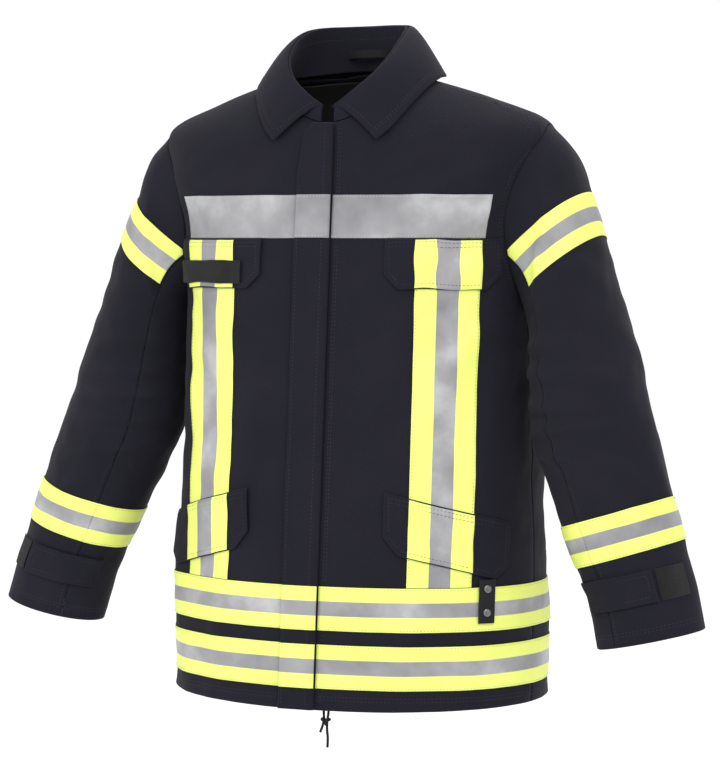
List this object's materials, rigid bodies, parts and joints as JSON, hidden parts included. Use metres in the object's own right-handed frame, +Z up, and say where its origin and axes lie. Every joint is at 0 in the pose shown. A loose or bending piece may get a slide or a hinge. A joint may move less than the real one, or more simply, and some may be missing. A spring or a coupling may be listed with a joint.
{
  "type": "turnout coat",
  "caption": "Firefighter's turnout coat with reflective tapes, storm flap over a front zip, pocket flaps and tabbed cuffs",
  "frame": {"origin": "middle of the neck opening, level with the seam at the back of the neck", "axes": "+X the wearer's left, -Y the front, +Z up through the neck opening"},
  "size_m": [0.88, 0.3313, 0.8358],
  "materials": {
    "shell": "dark navy aramid twill, matt",
    "lining": "black quilted lining, matt",
    "knit": "black rib knit",
    "hook_and_loop": "black hook-and-loop tape, fuzzy",
    "lime_silver_tape": "lime yellow tape with a silver retroreflective stripe",
    "silver_tape": "silver retroreflective tape",
    "zip_tape": "black woven zip tape",
    "zip_plastic": "black moulded plastic",
    "metal": "nickel-plated metal",
    "black_webbing": "black strap and pull",
    "cord": "black braided cord"
  },
  "bodies": {
    "coat_body": {"back_panel": "shell", "back_tape": "silver_tape", "body_liner": "lining", "chest_pocket_bag_left": "lining", "chest_pocket_bag_right": "lining", "chest_tape_left": "silver_tape", "chest_tape_right": "silver_tape", "collar_fall": "shell", "collar_stand": "shell", "cord_guide": "black_webbing", "cord_knot": "cord", "drawcord_long": "cord", "drawcord_short": "cord", "front_panel_left": "shell", "front_panel_right": "shell", "hanger_loop": "black_webbing", "hem_tape_lower": "lime_silver_tape", "hem_tape_upper": "lime_silver_tape", "lower_pocket_bag_left": "lining", "lower_pocket_bag_right": "lining", "shoulder_yoke_left": "shell", "shoulder_yoke_right": "shell", "storm_flap_loop": "hook_and_loop", "strap_snap_studs": "metal", "upright_tape_left": "lime_silver_tape", "upright_tape_right": "lime_silver_tape", "zip_box": "zip_plastic", "zip_chain": "zip_plastic", "zip_tape_left": "zip_tape", "zip_tape_right": "zip_tape"},
    "sleeve_upper_left": {"sleeve_upper_left": "shell", "sleeve_tape_upper_left": "lime_silver_tape"},
    "sleeve_lower_left": {"sleeve_lower_left": "shell", "sleeve_tape_lower_left": "lime_silver_tape", "cuff_loop_left": "hook_and_loop", "wristlet_left": "knit"},
    "cuff_tab_left": {"cuff_tab_left": "shell"},
    "chest_flap_left": {"chest_flap_left": "shell", "chest_flap_tape_left": "lime_silver_tape"},
    "lower_flap_left": {"lower_flap_left": "shell", "lower_flap_tape_left": "lime_silver_tape"},
    "sleeve_upper_right": {"sleeve_upper_right": "shell", "sleeve_tape_upper_right": "lime_silver_tape"},
    "sleeve_lower_right": {"sleeve_lower_right": "shell", "sleeve_tape_lower_right": "lime_silver_tape", "cuff_loop_right": "hook_and_loop", "wristlet_right": "knit"},
    "cuff_tab_right": {"cuff_tab_right": "shell"},
    "chest_flap_right": {"chest_flap_right": "shell", "chest_flap_tape_right": "lime_silver_tape", "name_strip": "hook_and_loop"},
    "lower_flap_right": {"lower_flap_right": "shell", "lower_flap_tape_right": "lime_silver_tape"},
    "storm_flap": {"storm_flap": "shell", "storm_flap_tape": "lime_silver_tape", "storm_flap_hook": "hook_and_loop"},
    "zip_slider": {"zip_slider": "metal", "zip_pull": "black_webbing"},
    "glove_strap": {"glove_strap": "black_webbing", "strap_snap_caps": "metal"}
  },
  "joints": [
    {"name": "sleeve_raise_left", "type": "hinge", "parent": "coat_body", "child": "sleeve_upper_left", "pos_m": [0.238, 0, -0.063], "axis": [0, -1, 0], "range_deg": [0, 60]},
    {"name": "sleeve_raise_right", "type": "hinge", "parent": "coat_body", "child": "sleeve_upper_right", "pos_m": [-0.238, 0, -0.063], "axis": [0, 1, 0], "range_deg": [0, 60]},
    {"name": "elbow_left", "type": "hinge", "parent": "sleeve_upper_left", "child": "sleeve_lower_left", "pos_m": [0.29237, -0.09106, -0.39447], "axis": [-0.9235, 0, -0.3837], "range_deg": [0, 60]},
    {"name": "elbow_right", "type": "hinge", "parent": "sleeve_upper_right", "child": "sleeve_lower_right", "pos_m": [-0.29237, -0.09106, -0.39447], "axis": [-0.9235, 0, 0.3837], "range_deg": [0, 60]},
    {"name": "cuff_tab_left", "type": "hinge", "parent": "sleeve_lower_left", "child": "cuff_tab_left", "pos_m": [0.30613, -0.08157, -0.60459], "axis": [0.3146, -0.0982, -0.9441], "range_deg": [0, 150]},
    {"name": "cuff_tab_right", "type": "hinge", "parent": "sleeve_lower_right", "child": "cuff_tab_right", "pos_m": [-0.30613, -0.08157, -0.60459], "axis": [0.3146, 0.0982, 0.9441], "range_deg": [0, 150]},
    {"name": "chest_flap_left", "type": "hinge", "parent": "coat_body", "child": "chest_flap_left", "pos_m": [0.14488, -0.1035, -0.19934], "axis": [-0.9481, -0.318, 0.0043], "range_deg": [0, 150]},
    {"name": "chest_flap_right", "type": "hinge", "parent": "coat_body", "child": "chest_flap_right", "pos_m": [-0.14488, -0.1035, -0.19934], "axis": [-0.9481, 0.318, -0.0043], "range_deg": [0, 150]},
    {"name": "lower_flap_left", "type": "hinge", "parent": "coat_body", "child": "lower_flap_left", "pos_m": [0.15574, -0.11375, -0.50575], "axis": [-0.8533, -0.4657, 0.2347], "range_deg": [0, 150]},
    {"name": "lower_flap_right", "type": "hinge", "parent": "coat_body", "child": "lower_flap_right", "pos_m": [-0.15574, -0.11375, -0.50575], "axis": [-0.8533, 0.4657, -0.2347], "range_deg": [0, 150]},
    {"name": "storm_flap_open", "type": "hinge", "parent": "coat_body", "child": "storm_flap", "pos_m": [0.01, -0.10997, -0.07435], "axis": [0, 0.0931, 0.9957], "range_deg": [0, 150]},
    {"name": "zip_slide", "type": "slide", "parent": "coat_body", "child": "zip_slider", "axis": [0, -0.0931, -0.9957], "range_m": [0, 0.6]},
    {"name": "glove_strap_lift", "type": "hinge", "parent": "coat_body", "child": "glove_strap", "pos_m": [0.19465, -0.09183, -0.58775], "axis": [-0.7026, -0.7095, 0.0551], "range_deg": [0, 120]}
  ]
}
